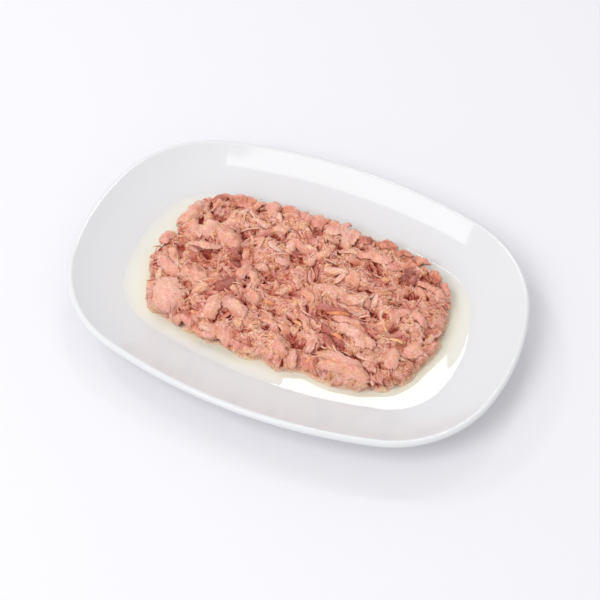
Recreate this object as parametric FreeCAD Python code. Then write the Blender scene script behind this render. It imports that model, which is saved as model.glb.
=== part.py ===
# Flaked fish cat food in its broth, served on an oblong coupe platter.
# Millimetres, +Z up. Origin: centre of the footprint, on the plane that the foot ring stands on.
# +X runs along the platter, +Y across it. Three solids: the platter, the broth lying in its
# well, and the heap of flakes, which stands on the well's floor with the broth cut round it.
import FreeCAD, Part
import math
import os
import random

# --- platter: plan outline of eight tangent arcs ---
plate_length = 240.0
plate_width = 166.0
side_radius = 283.0          # gentle bulge of the two long sides
end_radius = 117.5           # bulge of the two short ends
corner_radius = 61.4
corner_limit = 0.75          # a corner takes at most this share of the half width

# --- platter: section, the same all round the outline ---
plate_height = 25.0
wall_thickness = 3.8
foot_height = 6.0            # air under the floor, inside the foot ring
foot_step = 1.6              # the ring's outer face stands this far outside the floor's edge
foot_width = 4.6
foot_taper = 1.1             # the ring narrows by this on each flank, down to its seat
foot_embed = 1.5             # how far the ring's top runs up into the wall before fusing
well_radius = 20.0           # inner curve where the floor turns up
well_turn = 18.0             # degrees of slope where that curve meets the wall's own
wall_radius = 90.0           # flatter curve of the wall above it

# --- broth ---
broth_depth = 1.6

# --- heap of flakes: plan ---
heap_right_margin = 5.4      # flat floor left free beyond the heap's +X end
heap_left_margin = 2.2       # and beyond its -X end
heap_far_margin = 0.8        # along its +Y side
heap_near_margin = 2.6       # along its -Y side
heap_edge_clearance = 0.4    # no lobe comes nearer than this to the floor's turn-up
heap_squareness = 3.0        # exponent of its superellipse plan
heap_lobes = (               # lobes and notches: direction and spread in degrees, reach in mm
    (22, 9, 1.5), (66, 6, -2.2), (82, 5, 2.5), (93, 3, -1.0), (101, 4, 1.6), (111, 4, -2.2),
    (130, 7, -1.5), (146, 8, 2.0), (171, 8, -4.6), (184, 4, 1.2), (194, 5, -2.0), (211, 6, 2.4),
    (228, 9, 4.0), (243, 4, -1.4), (255, 6, 1.4), (272, 5, -1.2), (284, 5, 1.3), (298, 5, -2.0),
    (316, 7, 3.0), (331, 5, 1.4), (347, 6, -1.6),
)

# --- heap of flakes: height ---
heap_height = 12.2           # well floor to the general level of the top
rim_lift_far = 7.4           # how far its edge stands above the broth along the +Y side
rim_lift_near = 3.0          # and along the -Y side, where the flakes slope down
heap_shoulder = 4.6          # exponent of the rounded shoulder, higher is steeper
heap_swell = 1.0             # broad ups and downs of the top
swell_length = (17.0, 13.0)
heap_cells_long = 84         # facet grid over the top
heap_cells_wide = 44

# --- large flakes: x, y, direction in degrees, half length, half width, crest above the mash ---
large_flakes = (
    (-60, -31, -51, 11.0, 8.6, 2.8), (-64, 11, -50, 6.4, 4.0, 2.2), (-57, 14, 64, 6.4, 4.8, 2.6),
    (-46, 14, -30, 11.4, 5.4, 3.0), (-55, 4, 20, 9.2, 3.2, 1.8), (-66, -15, -33, 9.8, 3.6, 2.0),
    (-34, -15, 44, 6.4, 4.2, 2.0), (-28, -4, 87, 6.4, 3.2, 2.6), (-35, -30, 80, 8.0, 5.6, 3.0),
    (-23, -27, -28, 8.0, 4.4, 3.2), (-24, -40, -15, 7.2, 4.4, 2.2), (-43, 28, 17, 8.8, 7.6, 2.6),
    (-21, 13, 68, 8.8, 8.0, 2.6), (-32, 41, -82, 8.4, 4.0, 2.2), (-6, 44, 79, 6.6, 4.6, 3.0),
    (8, 40, 5, 9.0, 5.0, 2.4), (12, 38, -58, 9.8, 3.6, 3.0), (31, 32, 8, 9.8, 4.2, 2.2),
    (56, 32, -17, 8.0, 5.0, 2.2), (23, 17, -22, 6.5, 4.4, 2.0), (23, 2, -3, 16.4, 4.4, 3.0),
    (24, -8, 12, 10.0, 3.6, 2.0), (30, -24, -16, 10.2, 5.4, 1.6), (38, -16, -3, 9.6, 4.6, 2.8),
    (47, -20, 13, 5.6, 4.6, 2.6), (50, 2, -12, 6.7, 5.4, 2.4), (63, 1, 29, 8.0, 7.0, 3.0),
    (62, -21, 31, 5.0, 5.8, 3.0), (39, -35, 3, 13.6, 5.0, 2.6), (1, -39, 6, 9.3, 7.0, 2.4),
)

# --- openings between the flakes, each (x, y, radius, depth) ---
hollows = (
    (-3, 36, 4.2, 2.0), (-57, 25, 3.8, 1.6), (-36, 4, 3.6, 1.6), (-52, -23, 3.6, 1.6),
    (-18, -20, 3.8, 1.6), (57, -7, 4.2, 2.0), (56, 16, 3.6, 1.6), (30, 25, 3.8, 1.6),
    (15, -32, 3.4, 1.6), (58, -29, 3.6, 1.5),
)

# --- small flakes strewn between them ---
flake_seed = 11
flake_count = 230
flake_half_length = (3.6, 7.6)
flake_half_width = (1.8, 3.6)
flake_rise = (0.7, 2.3)
flake_lean = 0.16            # steepest tilt along its length
flake_edge = 0.55            # exponent of a flake's cross-section, lower is blunter

floor_top = foot_height + wall_thickness
half_length = plate_length / 2
half_width = plate_width / 2
broth_level = floor_top + broth_depth


def polar(centre, radius, angle):
    return (centre[0] + radius * math.cos(angle), centre[1] + radius * math.sin(angle))


def outline_arcs():
    """The closed outline as (centre, radius, start angle, end angle), anticlockwise from the +X end."""
    corner_r = min(corner_radius, corner_limit * half_width)
    side_centre = (0.0, half_width - side_radius)
    end_centre = (half_length - end_radius, 0.0)
    to_side, to_end = side_radius - corner_r, end_radius - corner_r
    dx, dy = end_centre[0] - side_centre[0], end_centre[1] - side_centre[1]
    gap = math.hypot(dx, dy)
    along = (to_side ** 2 - to_end ** 2 + gap ** 2) / (2 * gap)
    across = math.sqrt(to_side ** 2 - along ** 2)
    ux, uy = dx / gap, dy / gap
    corner = (side_centre[0] + along * ux + across * uy, side_centre[1] + along * uy - across * ux)
    side_turn = math.atan2(corner[1] - side_centre[1], corner[0] - side_centre[0])
    end_turn = math.atan2(corner[1], corner[0] - end_centre[0])
    half_turn, turn = math.pi, 2 * math.pi
    signs = ((1, 1), (-1, 1), (-1, -1), (1, -1))
    corners = [(corner[0] * sx, corner[1] * sy) for sx, sy in signs]
    return [
        (end_centre, end_radius, -end_turn, end_turn),
        (corners[0], corner_r, end_turn, side_turn),
        (side_centre, side_radius, side_turn, half_turn - side_turn),
        (corners[1], corner_r, half_turn - side_turn, half_turn - end_turn),
        ((-end_centre[0], 0.0), end_radius, half_turn - end_turn, half_turn + end_turn),
        (corners[2], corner_r, half_turn + end_turn, half_turn + side_turn),
        ((0.0, -side_centre[1]), side_radius, half_turn + side_turn, turn - side_turn),
        (corners[3], corner_r, turn - side_turn, turn - end_turn),
    ]


def outline_prism(inset, low, high):
    """A slab of the outline moved in by inset, from height low to height high."""
    edges = []
    for centre, radius, start, end in outline_arcs():
        ends = [polar(centre, radius - inset, t) for t in (start, (start + end) / 2, end)]
        edges.append(Part.Arc(*[FreeCAD.Vector(x, y, low) for x, y in ends]).toShape())
    return Part.Face(Part.Wire(edges)).extrude(FreeCAD.Vector(0, 0, high - low))


def ring(section):
    """Carries a section round the outline, as one revolved sector for each arc. section(place)
    makes its closed wire, where place(w, z) is the point w inside the outline at height z."""
    sectors = []
    for centre, radius, start, end in outline_arcs():
        def place(w, z):
            x, y = polar(centre, radius - w, start)
            return FreeCAD.Vector(x, y, z)

        axis = FreeCAD.Vector(centre[0], centre[1], 0)
        face = Part.Face(section(place))
        sectors.append(face.revolve(axis, FreeCAD.Vector(0, 0, 1), math.degrees(end - start)))
    return sectors


def fuse(solids):
    return solids[0].multiFuse(solids[1:]).removeSplitter()


def arc(start, middle, end):
    return Part.Arc(start, middle, end).toShape()


def line(start, end):
    return Part.LineSegment(start, end).toShape()


def wall_points():
    """Points (inset, height) of the wall's section: each face from the floor's edge to the lip,
    the lip's own crest, and the inset of the floor's edge."""
    turn = math.radians(well_turn)
    half_wall = wall_thickness / 2
    lip = (half_wall, plate_height - half_wall)
    well_mid, wall_mid = well_radius + half_wall, wall_radius + half_wall
    climb = lip[1] - (floor_top - half_wall) - well_mid * (1 - math.cos(turn))
    slope = math.acos(math.cos(turn) - climb / wall_mid)
    floor_inset = lip[0] + well_mid * math.sin(turn) + wall_mid * (math.sin(slope) - math.sin(turn))
    well_centre = (floor_inset, floor_top + well_radius)
    spread = wall_radius - well_radius
    wall_centre = (well_centre[0] + spread * math.sin(turn), well_centre[1] + spread * math.cos(turn))

    def below(centre, radius, angle):
        return (centre[0] - radius * math.sin(angle), centre[1] - radius * math.cos(angle))

    def face(offset):
        return {
            "floor": below(well_centre, well_radius + offset, 0.0),
            "well": below(well_centre, well_radius + offset, turn / 2),
            "join": below(well_centre, well_radius + offset, turn),
            "wall": below(wall_centre, wall_radius + offset, (turn + slope) / 2),
            "lip": below(wall_centre, wall_radius + offset, slope),
        }

    crest = below(lip, half_wall, slope + math.pi / 2)
    return face(0.0), face(wall_thickness), crest, floor_inset


inner, outer, lip_crest, floor_edge = wall_points()


def wall_section(place):
    return Part.Wire([
        arc(place(*inner["floor"]), place(*inner["well"]), place(*inner["join"])),
        arc(place(*inner["join"]), place(*inner["wall"]), place(*inner["lip"])),
        arc(place(*inner["lip"]), place(*lip_crest), place(*outer["lip"])),
        arc(place(*outer["lip"]), place(*outer["wall"]), place(*outer["join"])),
        arc(place(*outer["join"]), place(*outer["well"]), place(*outer["floor"])),
        line(place(*outer["floor"]), place(*inner["floor"])),
    ])


def foot_section(place):
    """Tapered foot, its top buried in the floor's turn-up."""
    top = foot_height + foot_embed
    start = floor_edge - foot_step
    end = start + foot_width
    return Part.makePolygon([
        place(start, top),
        place(start + foot_taper, 0.0),
        place(end - foot_taper, 0.0),
        place(end, top),
        place(start, top),
    ])


def platter():
    floor = outline_prism(floor_edge, foot_height, floor_top)
    bowl = fuse(ring(wall_section) + [floor])
    foot = fuse(ring(foot_section))
    return fuse([bowl, foot])


# --- heap ---
heap_half_length = half_length - floor_edge - (heap_right_margin + heap_left_margin) / 2
heap_half_width = half_width - floor_edge - (heap_far_margin + heap_near_margin) / 2
heap_centre = ((heap_left_margin - heap_right_margin) / 2, (heap_near_margin - heap_far_margin) / 2)


def floor_reach(angle, inset):
    """From the heap's centre to the outline moved in by inset, in the direction of angle."""
    ux, uy = math.cos(angle), math.sin(angle)
    for centre, radius, start, end in outline_arcs():
        dx, dy = heap_centre[0] - centre[0], heap_centre[1] - centre[1]
        half = dx * ux + dy * uy
        room = half ** 2 - dx ** 2 - dy ** 2 + (radius - inset) ** 2
        if room < 0:
            continue             # this arc's circle lies wholly to one side
        reach = math.sqrt(room) - half
        hit = math.atan2(dy + reach * uy, dx + reach * ux)
        if (hit - start) % (2 * math.pi) <= end - start:
            return reach
    raise ValueError("the outline is open towards %.1f degrees" % math.degrees(angle))


def heap_reach(angle):
    """From the heap's centre to its own outline: a superellipse with lobes, kept on the floor."""
    c, s = abs(math.cos(angle)) / heap_half_length, abs(math.sin(angle)) / heap_half_width
    reach = (c ** heap_squareness + s ** heap_squareness) ** (-1 / heap_squareness)
    for direction, spread, size in heap_lobes:
        off = (math.degrees(angle) - direction + 180) % 360 - 180
        reach += size * math.exp(-(off / spread) ** 2)
    return min(reach, floor_reach(angle, floor_edge + heap_edge_clearance))


def strewn_flakes():
    """Small flakes all over the heap, in the same form as large_flakes with a lean added."""
    dice = random.Random(flake_seed)
    flakes = []
    for _ in range(flake_count):
        angle = dice.uniform(0, 2 * math.pi)
        out = math.sqrt(dice.random())
        x, y = polar(heap_centre, out * heap_reach(angle), angle)
        flakes.append((
            x, y, dice.uniform(0, 180), dice.uniform(*flake_half_length),
            dice.uniform(*flake_half_width), dice.uniform(*flake_rise),
            dice.uniform(-flake_lean, flake_lean),
        ))
    return flakes


def relief(x, y, flakes):
    """Height that the uppermost flake adds at a point, less the hollows. Flakes overlap, they don't add up."""
    best = 0.0
    for fx, fy, direction, length, width, rise, lean in flakes:
        turn = math.radians(direction)
        dx, dy = x - fx, y - fy
        along = dx * math.cos(turn) + dy * math.sin(turn)
        across = -dx * math.sin(turn) + dy * math.cos(turn)
        inside = 1 - (along / length) ** 2 - (across / width) ** 2
        if inside > 0:
            best = max(best, rise * inside ** flake_edge + lean * along)
    for hx, hy, radius, depth in hollows:
        best -= depth * max(1 - ((x - hx) ** 2 + (y - hy) ** 2) / radius ** 2, 0)
    return best


def rim_lift(angle):
    """Height of the heap's edge above the broth in the direction of angle."""
    return rim_lift_near + (rim_lift_far - rim_lift_near) * (1 + math.sin(angle)) / 2


def heap_grid():
    """Points of the heap's upper surface: nested copies of the outline, drawn in to the centre."""
    flakes = [flake + (0.0,) for flake in large_flakes] + strewn_flakes()
    crest = heap_height - broth_depth
    grid = []
    for i in range(heap_cells_long + 1):
        column = []
        for j in range(heap_cells_wide + 1):
            u, v = 2 * i / heap_cells_long - 1, 2 * j / heap_cells_wide - 1
            out = max(abs(u), abs(v))
            angle = math.atan2(v * heap_half_width, u * heap_half_length)
            x, y = polar(heap_centre, out * heap_reach(angle), angle)
            dome = (1 - out ** heap_shoulder) ** 0.5
            swell = heap_swell * math.sin(x / swell_length[0]) * math.cos(y / swell_length[1])
            lift = rim_lift(angle)
            rise = lift + (crest - lift + swell + relief(x, y, flakes)) * dome
            column.append(FreeCAD.Vector(x, y, broth_level + rise))
        grid.append(column)
    return grid


def border(grid):
    """The grid's outermost points, anticlockwise."""
    last_i, last_j = len(grid) - 1, len(grid[0]) - 1
    return (
        [grid[i][0] for i in range(last_i)]
        + [grid[last_i][j] for j in range(last_j)]
        + [grid[i][last_j] for i in range(last_i, 0, -1)]
        + [grid[0][j] for j in range(last_j, 0, -1)]
    )


def facet(*corners):
    return Part.Face(Part.makePolygon([*corners, corners[0]]))


def heap_foot(edge):
    """The heap's outline on the well's floor."""
    return [FreeCAD.Vector(p.x, p.y, floor_top) for p in edge]


def heap_solid(grid):
    """A closed shell of flat facets: the top split along each cell's flatter diagonal, a wall
    down to the well's floor, and a flat underside."""
    faces = []
    for i in range(heap_cells_long):
        for j in range(heap_cells_wide):
            a, b = grid[i][j], grid[i + 1][j]
            c, d = grid[i + 1][j + 1], grid[i][j + 1]
            if abs(a.z - c.z) < abs(b.z - d.z):
                faces += [facet(a, b, c), facet(a, c, d)]
            else:
                faces += [facet(a, b, d), facet(b, c, d)]
    edge = border(grid)
    foot = heap_foot(edge)
    for k in range(len(edge)):
        faces.append(facet(foot[k - 1], foot[k], edge[k], edge[k - 1]))
    faces.append(facet(*foot))
    return Part.Solid(Part.Shell(faces))


# --- broth ---
def cavity_section(place):
    """What the wall leaves free between its inner face and the floor's edge."""
    lip, floor = inner["lip"], inner["floor"]
    over_edge = (floor[0], lip[1])
    return Part.Wire([
        arc(place(*floor), place(*inner["well"]), place(*inner["join"])),
        arc(place(*inner["join"]), place(*inner["wall"]), place(*lip)),
        line(place(*lip), place(*over_edge)),
        line(place(*over_edge), place(*floor)),
    ])


def broth_solid(foot):
    """The well filled to the broth's level, less the heap's footprint."""
    lip_height = inner["lip"][1]
    cavity = fuse(ring(cavity_section) + [outline_prism(floor_edge, floor_top, lip_height)])
    pool = cavity.common(outline_prism(0.0, floor_top, broth_level))
    hole = facet(*foot).extrude(FreeCAD.Vector(0, 0, broth_depth))
    return pool.cut(hole).removeSplitter()


def single(shape):
    """The one solid that a boolean result holds."""
    if len(shape.Solids) != 1:
        raise ValueError("expected one solid, got %d" % len(shape.Solids))
    return shape.Solids[0]


def main():
    os.makedirs("parts", exist_ok=True)
    grid = heap_grid()
    pieces = {
        "platter": single(platter()),
        "fish_heap": heap_solid(grid),
        "broth": single(broth_solid(heap_foot(border(grid)))),
    }
    for name, solid in pieces.items():
        box = solid.optimalBoundingBox(False, False)
        print("%-10s valid %s, %.1f cm3, %d faces, z %.2f to %.2f, %.1f x %.1f mm" % (
            name, solid.isValid(), solid.Volume / 1000, len(solid.Faces),
            box.ZMin, box.ZMax, box.XLength, box.YLength))
        solid.exportStep("parts/%s.step" % name)
    print("floor's edge %.2f inside the outline" % floor_edge)


main()
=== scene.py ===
import math

import bmesh
import bpy
import numpy as np
from mathutils import Matrix, Vector
from mathutils.bvhtree import BVHTree


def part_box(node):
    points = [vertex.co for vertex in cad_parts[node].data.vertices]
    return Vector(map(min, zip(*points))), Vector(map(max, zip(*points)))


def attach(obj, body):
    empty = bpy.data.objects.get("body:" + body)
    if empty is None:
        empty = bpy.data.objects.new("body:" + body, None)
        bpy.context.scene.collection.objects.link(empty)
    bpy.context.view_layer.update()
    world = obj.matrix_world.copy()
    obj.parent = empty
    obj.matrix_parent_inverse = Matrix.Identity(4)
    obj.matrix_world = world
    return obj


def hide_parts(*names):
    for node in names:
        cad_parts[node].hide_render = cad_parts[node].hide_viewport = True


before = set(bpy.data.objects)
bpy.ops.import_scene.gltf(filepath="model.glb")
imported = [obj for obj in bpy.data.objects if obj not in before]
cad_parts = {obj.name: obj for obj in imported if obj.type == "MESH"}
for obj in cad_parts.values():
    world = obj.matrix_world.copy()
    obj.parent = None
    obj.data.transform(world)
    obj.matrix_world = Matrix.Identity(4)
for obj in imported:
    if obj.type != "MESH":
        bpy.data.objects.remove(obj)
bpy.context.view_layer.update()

mm = 0.001

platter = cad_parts["platter"]
heapLow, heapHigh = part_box("fish_heap")
brothLow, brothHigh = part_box("broth")
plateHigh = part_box("platter")[1]
wellFloor = brothLow.z
brothLevel = brothHigh.z
rimHeight = plateHigh.z
halfLength = plateHigh.x
heapCentre = Vector(((heapLow.x + heapHigh.x) / 2, (heapLow.y + heapHigh.y) / 2, 0))


def treeOf(node):
    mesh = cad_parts[node].data
    return BVHTree.FromPolygons([v.co for v in mesh.vertices], [p.vertices for p in mesh.polygons])


heapTree = treeOf("fish_heap")
platterTree = treeOf("platter")
down = Vector((0, 0, -1))
castHeight = 0.1    # rays that read heights start here, well above the part

# the outline is read a little above the well's floor, and drawn in at two places: degrees and depth
heapOutline = {"height": 0.6 * mm, "tucks": ((178, 2.4 * mm), (205, 1.2 * mm)), "tuckWidth": 14}


def outward(angle):
    return Vector((math.cos(angle), math.sin(angle), 0))


def heapReach(angle):
    # distance from the heap's centre to its outline
    start = heapCentre + Vector((0, 0, wellFloor + heapOutline["height"]))
    reach = heapTree.ray_cast(start, outward(angle))[3]
    turned = math.degrees(angle) % 360
    return reach - sum(depth * math.exp(-((turned - place) / heapOutline["tuckWidth"]) ** 2)
                       for place, depth in heapOutline["tucks"])


compass = np.linspace(-math.pi, math.pi, 1441)     # a quarter of a degree apart
reaches = np.array([heapReach(a) for a in compass])


def reachAt(angle):
    # heapReach for arrays of angles
    return np.interp(angle, compass, reaches)


def newObject(name, data):
    made = bpy.data.objects.new(name, data)
    bpy.context.scene.collection.objects.link(made)
    return made


def finish(name, mesh, material, slotName, *nodes):
    # a finished piece: its object at the origin, riding on the part's one body
    piece = newObject(name, mesh)
    mesh.materials.append(material)
    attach(piece, "root")
    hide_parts(*nodes)
    print(name, len(mesh.polygons), "faces")
    return piece


def setAttribute(mesh, name, values):
    layer = mesh.attributes.new(name, "FLOAT", "POINT")
    layer.data.foreach_set("value", np.asarray(values, dtype=np.float32))


def gridMesh(along, across, size=1):
    bm = bmesh.new()
    bmesh.ops.create_grid(bm, x_segments=along, y_segments=across, size=size)
    return bm


def meshFrom(bm, name):
    mesh = bpy.data.meshes.new(name)
    bm.to_mesh(mesh)
    bm.free()
    return mesh


def feed(tree, socket, value):
    if isinstance(value, bpy.types.NodeSocket):
        tree.links.new(value, socket)
    else:
        socket.default_value = value


def feedInputs(tree, node, **values):
    # inputs by name, with _ for a space
    for key, value in values.items():
        feed(tree, node.inputs[key.replace("_", " ")], value)


def addNode(tree, kind, links=None, **values):
    # values set attributes, or inputs by name; links feed inputs by number
    node = tree.nodes.new("ShaderNode" + kind)
    for key, value in values.items():
        if hasattr(node, key):
            setattr(node, key, value)
        else:
            feedInputs(tree, node, **{key: value})
    for index, source in (links or {}).items():
        tree.links.new(source, node.inputs[index])
    return node


def newMaterial(name):
    # the material, its tree and shader, and the place in the object's own space
    material = bpy.data.materials.new(name)
    material.use_nodes = True
    tree = material.node_tree
    tree.nodes.clear()
    output = addNode(tree, "OutputMaterial")
    shader = addNode(tree, "BsdfPrincipled")
    tree.links.new(shader.outputs[0], output.inputs[0])
    return material, tree, shader, addNode(tree, "TexCoord").outputs["Object"]


def mixColour(tree, factor, a, b, blend="MIX"):
    node = addNode(tree, "Mix", data_type="RGBA", blend_type=blend)
    feed(tree, node.inputs[0], factor)
    for index, value in ((6, a), (7, b)):
        feed(tree, node.inputs[index], (*value, 1) if isinstance(value, tuple) else value)
    return node.outputs[2]


def mathNode(tree, operation, a, b=0.0, clamp=False):
    node = addNode(tree, "Math", operation=operation, use_clamp=clamp)
    feed(tree, node.inputs[0], a)
    feed(tree, node.inputs[1], b)
    return node.outputs[0]


def times(tree, a, b, clamp=False):
    return mathNode(tree, "MULTIPLY", a, b, clamp)


def noise(tree, place, **values):
    return addNode(tree, "TexNoise", Vector=place, **values).outputs[0]


def attribute(tree, name):
    return addNode(tree, "Attribute", attribute_name=name).outputs["Fac"]


def mixShaders(tree, factor, first, second):
    # the mix of two shaders takes over the material's output
    mix = addNode(tree, "MixShader", {0: factor, 1: first.outputs[0], 2: second.outputs[0]})
    output = next(n for n in tree.nodes if n.type == "OUTPUT_MATERIAL")
    tree.links.new(mix.outputs[0], output.inputs[0])


def ramp(tree, factor, stops):
    node = addNode(tree, "ValToRGB")
    elements = node.color_ramp.elements
    while len(elements) < len(stops):
        elements.new(0.5)
    for element, (place, colour) in zip(elements, stops):
        element.position = place
        element.color = (*colour, 1)
    tree.links.new(factor, node.inputs[0])
    return node.outputs[0]


def makeFleshGrain():
    # fibres along a flake, and fine wet grain; mottling and hue change about six times more slowly
    group = bpy.data.node_groups.new("fleshGrain", "ShaderNodeTree")
    for name, kind in (("Fibre UV", "Vector"), ("Position", "Vector"), ("Fibre Width", "Float"),
                       ("Fibre Length", "Float"), ("Grain Size", "Float")):
        group.interface.new_socket(name, in_out="INPUT", socket_type="NodeSocket" + kind)
    for name in ("Fibre", "Grain", "Mottle", "Hue", "Height"):
        group.interface.new_socket(name, in_out="OUTPUT", socket_type="NodeSocketFloat")
    inputs = group.nodes.new("NodeGroupInput").outputs
    outputs = group.nodes.new("NodeGroupOutput").inputs
    along = mathNode(group, "DIVIDE", 1.0, inputs["Fibre Length"])
    across = mathNode(group, "DIVIDE", 1.0, inputs["Fibre Width"])
    stretch = addNode(group, "CombineXYZ", X=along, Y=across, Z=1.0)
    fibreAt = addNode(group, "VectorMath", {0: inputs["Fibre UV"], 1: stretch.outputs[0]}, operation="MULTIPLY")
    place = inputs["Position"]
    grainScale = mathNode(group, "DIVIDE", 1.0, inputs["Grain Size"])
    mottleScale = times(group, grainScale, 0.16)
    hueScale = times(group, grainScale, 0.15)
    fibre = noise(group, fibreAt.outputs[0], Scale=1.0, Detail=2.0, Roughness=0.55, Distortion=0.35)
    grain = noise(group, place, Scale=grainScale, Detail=3.0, Roughness=0.6)
    height = mathNode(group, "ADD", times(group, fibre, 0.45), times(group, grain, 0.55))
    group.links.new(fibre, outputs["Fibre"])
    group.links.new(grain, outputs["Grain"])
    group.links.new(noise(group, place, Scale=mottleScale, Detail=2.0), outputs["Mottle"])
    group.links.new(noise(group, place, Scale=hueScale, Detail=3.0, Roughness=0.65), outputs["Hue"])
    group.links.new(height, outputs["Height"])
    return group


fleshGrain = makeFleshGrain()


def fleshMaterial(name, look):
    # look: ramp of tones, the colour of painted shade in crevices, fibre and grain contrast, bump, wetness
    material, tree, shader, place = newMaterial(name)
    uv = addNode(tree, "UVMap", uv_map="fibre").outputs[0]
    grain = addNode(tree, "Group", node_tree=fleshGrain)
    feedInputs(tree, grain, Fibre_UV=uv, Position=place, Fibre_Width=look["fibreWidth"],
               Fibre_Length=look["fibreLength"], Grain_Size=look["grainSize"])
    grain = grain.outputs
    mottle = times(tree, mathNode(tree, "SUBTRACT", grain["Mottle"], 0.5), look["mottle"])
    base = ramp(tree, mathNode(tree, "ADD", attribute(tree, "tone"), mottle, clamp=True), look["tones"])
    streak = ramp(tree, grain["Fibre"], ((0.3, look["fibreDark"]), (0.7, look["fibreLight"])))
    speck = ramp(tree, grain["Grain"], ((0.32, look["grainDark"]), (0.68, look["grainLight"])))
    tint = ramp(tree, grain["Hue"], ((0.36, look["tan"]), (0.5, (1.0, 1.0, 1.0)), (0.64, look["rose"])))
    for share, layer in (("fibreMix", streak), ("grainMix", speck), ("hueMix", tint)):
        base = mixColour(tree, look[share], base, layer, "MULTIPLY")
    # painted shade: crevices, hollows and deep places darken towards the crevice colour
    paintedShade = times(tree, attribute(tree, "paintedShade"), look["paintedShadeMix"], clamp=True)
    base = mixColour(tree, paintedShade, base, look["crevice"])
    rough = times(tree, grain["Grain"], look["roughSpread"])
    rough = mathNode(tree, "ADD", look["roughness"], rough)
    bump = addNode(tree, "Bump", Height=grain["Height"], Strength=look["bump"], Distance=look["bumpDepth"])
    feedInputs(tree, shader, Base_Color=base, Roughness=rough, Normal=bump.outputs[0], **look["wet"])
    return material


fleshLook = {
    "tones": ((0.0, (0.42, 0.13, 0.085)), (0.3, (0.68, 0.28, 0.19)), (0.6, (0.785, 0.385, 0.29)),
              (1.0, (0.82, 0.495, 0.395))),
    # crevice: the colour of painted shade in crevices and deep places
    "crevice": (0.41, 0.035, 0.012),
    "fibreWidth": 0.5 * mm, "fibreLength": 8 * mm, "grainSize": 0.9 * mm,
    "fibreDark": (0.80, 0.66, 0.60), "fibreLight": (1.08, 1.1, 1.1), "fibreMix": 0.5,
    "grainDark": (0.82, 0.67, 0.59), "grainLight": (1.1, 1.1, 1.1), "grainMix": 0.9,
    "mottle": 1.1, "paintedShadeMix": 1.0,
    "tan": (1.0, 1.0, 0.82), "rose": (1.0, 0.9, 0.98), "hueMix": 1.0,
    "roughness": 0.2, "roughSpread": 0.3, "bump": 1.0, "bumpDepth": 0.45 * mm,
    "wet": {"Coat_Weight": 0.9, "Coat_Roughness": 0.05, "Coat_IOR": 1.35, "Subsurface_Weight": 0.12,
            "Subsurface_Radius": (1.0, 0.32, 0.18), "Subsurface_Scale": 1.2 * mm},
}
mashLook = dict(
    fleshLook,
    tones=((0.0, (0.45, 0.15, 0.085)), (0.3, (0.82, 0.38, 0.25)), (0.6, (0.93, 0.55, 0.41)),
           (1.0, (0.95, 0.68, 0.565))),
    grainSize=0.7 * mm, grainDark=(0.70, 0.49, 0.40), grainMix=1.0, mottle=1.0,
    tan=(1.0, 1.0, 0.78), rose=(1.0, 0.86, 0.96), bumpDepth=0.4 * mm,
    wet=dict(fleshLook["wet"], Coat_Weight=1.0, Coat_Roughness=0.04),
)
darkTones = ((0.0, (0.26, 0.07, 0.055)), (0.3, (0.45, 0.14, 0.10)), (0.6, (0.55, 0.21, 0.17)),
             (1.0, (0.65, 0.3, 0.25)))
orangeTones = ((0.0, (0.55, 0.17, 0.08)), (0.5, (0.80, 0.32, 0.14)), (1.0, (0.92, 0.55, 0.32)))
threadTones = ((0.0, (0.78, 0.38, 0.27)), (1.0, (0.92, 0.58, 0.43)))


# the heap's general shape is read from its CAD solid
bed = {
    "cell": 0.35 * mm, "margin": 4 * mm,
    "smooth": 1.4 * mm,      # blur that rounds the facets off
    "roofSmooth": 5.0 * mm,  # blur of the level that depth is judged against
    "roofLift": 0.4 * mm, "deepest": 3.6 * mm,
    "edgeSmooth": 3.0 * mm,  # blur of the outline, for the room that a place has before it
    "edgeFade": (0.55, 0.35),
}


def blurred(field, weight, sigma):
    # Gaussian blur that ignores cells outside the heap
    reach = int(3 * sigma / bed["cell"])
    kernel = np.exp(-0.5 * (np.arange(-reach, reach + 1) * bed["cell"] / sigma) ** 2)

    def both(values):
        for axis in (0, 1):
            values = np.apply_along_axis(lambda row: np.convolve(row, kernel, "same"), axis, values)
        return values

    return both(np.where(weight > 0, field, 0.0)) / np.maximum(both(weight), 1e-9)


def readHeap():
    margin = bed["margin"]
    xs = np.arange(heapLow.x - margin, heapHigh.x + margin, bed["cell"])
    ys = np.arange(heapLow.y - margin, heapHigh.y + margin, bed["cell"])
    top = np.zeros((len(ys), len(xs)))
    inside = np.zeros_like(top)
    for j, y in enumerate(ys):
        for i, x in enumerate(xs):
            hit = heapTree.ray_cast(Vector((x, y, castHeight)), down)[0]
            if hit:
                top[j, i] = hit.z
                inside[j, i] = 1.0
    return xs, ys, top, inside


bedX, bedY, bedTop, bedInside = readHeap()
bedSmooth = blurred(bedTop, bedInside, bed["smooth"])
bedRoof = blurred(bedTop, bedInside, bed["roofSmooth"])
everywhere = np.ones_like(bedTop)
print("heap read on", bedTop.shape, "cells")


def unit(values):
    return np.clip(values, 0, 1)


def sample(field, x, y):
    # bilinear reading of a field at arrays of places
    fx = np.clip((np.asarray(x) - bedX[0]) / bed["cell"], 0, len(bedX) - 1.001)
    fy = np.clip((np.asarray(y) - bedY[0]) / bed["cell"], 0, len(bedY) - 1.001)
    i, j = fx.astype(int), fy.astype(int)
    u, v = fx - i, fy - j
    low = field[j, i] * (1 - u) + field[j, i + 1] * u
    high = field[j + 1, i] * (1 - u) + field[j + 1, i + 1] * u
    return low * (1 - v) + high * v


def smoothed(field, sigma):
    return blurred(field, everywhere, sigma)


edgeRoom = smoothed(bedInside, bed["edgeSmooth"])   # 0 outside, 0.5 on the outline, 1 inside


def depthBelow(points):
    # how far a point lies under the heap's general level, 0 at that level and 1 a few millimetres under it; painted
    # shade is made from it
    roof = sample(bedRoof, points[:, 0], points[:, 1]) + bed["roofLift"]
    start, span = bed["edgeFade"]
    fade = unit((sample(edgeRoom, points[:, 0], points[:, 1]) - start) / span)
    return unit((roof - points[:, 2]) / bed["deepest"]) * fade


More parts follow.
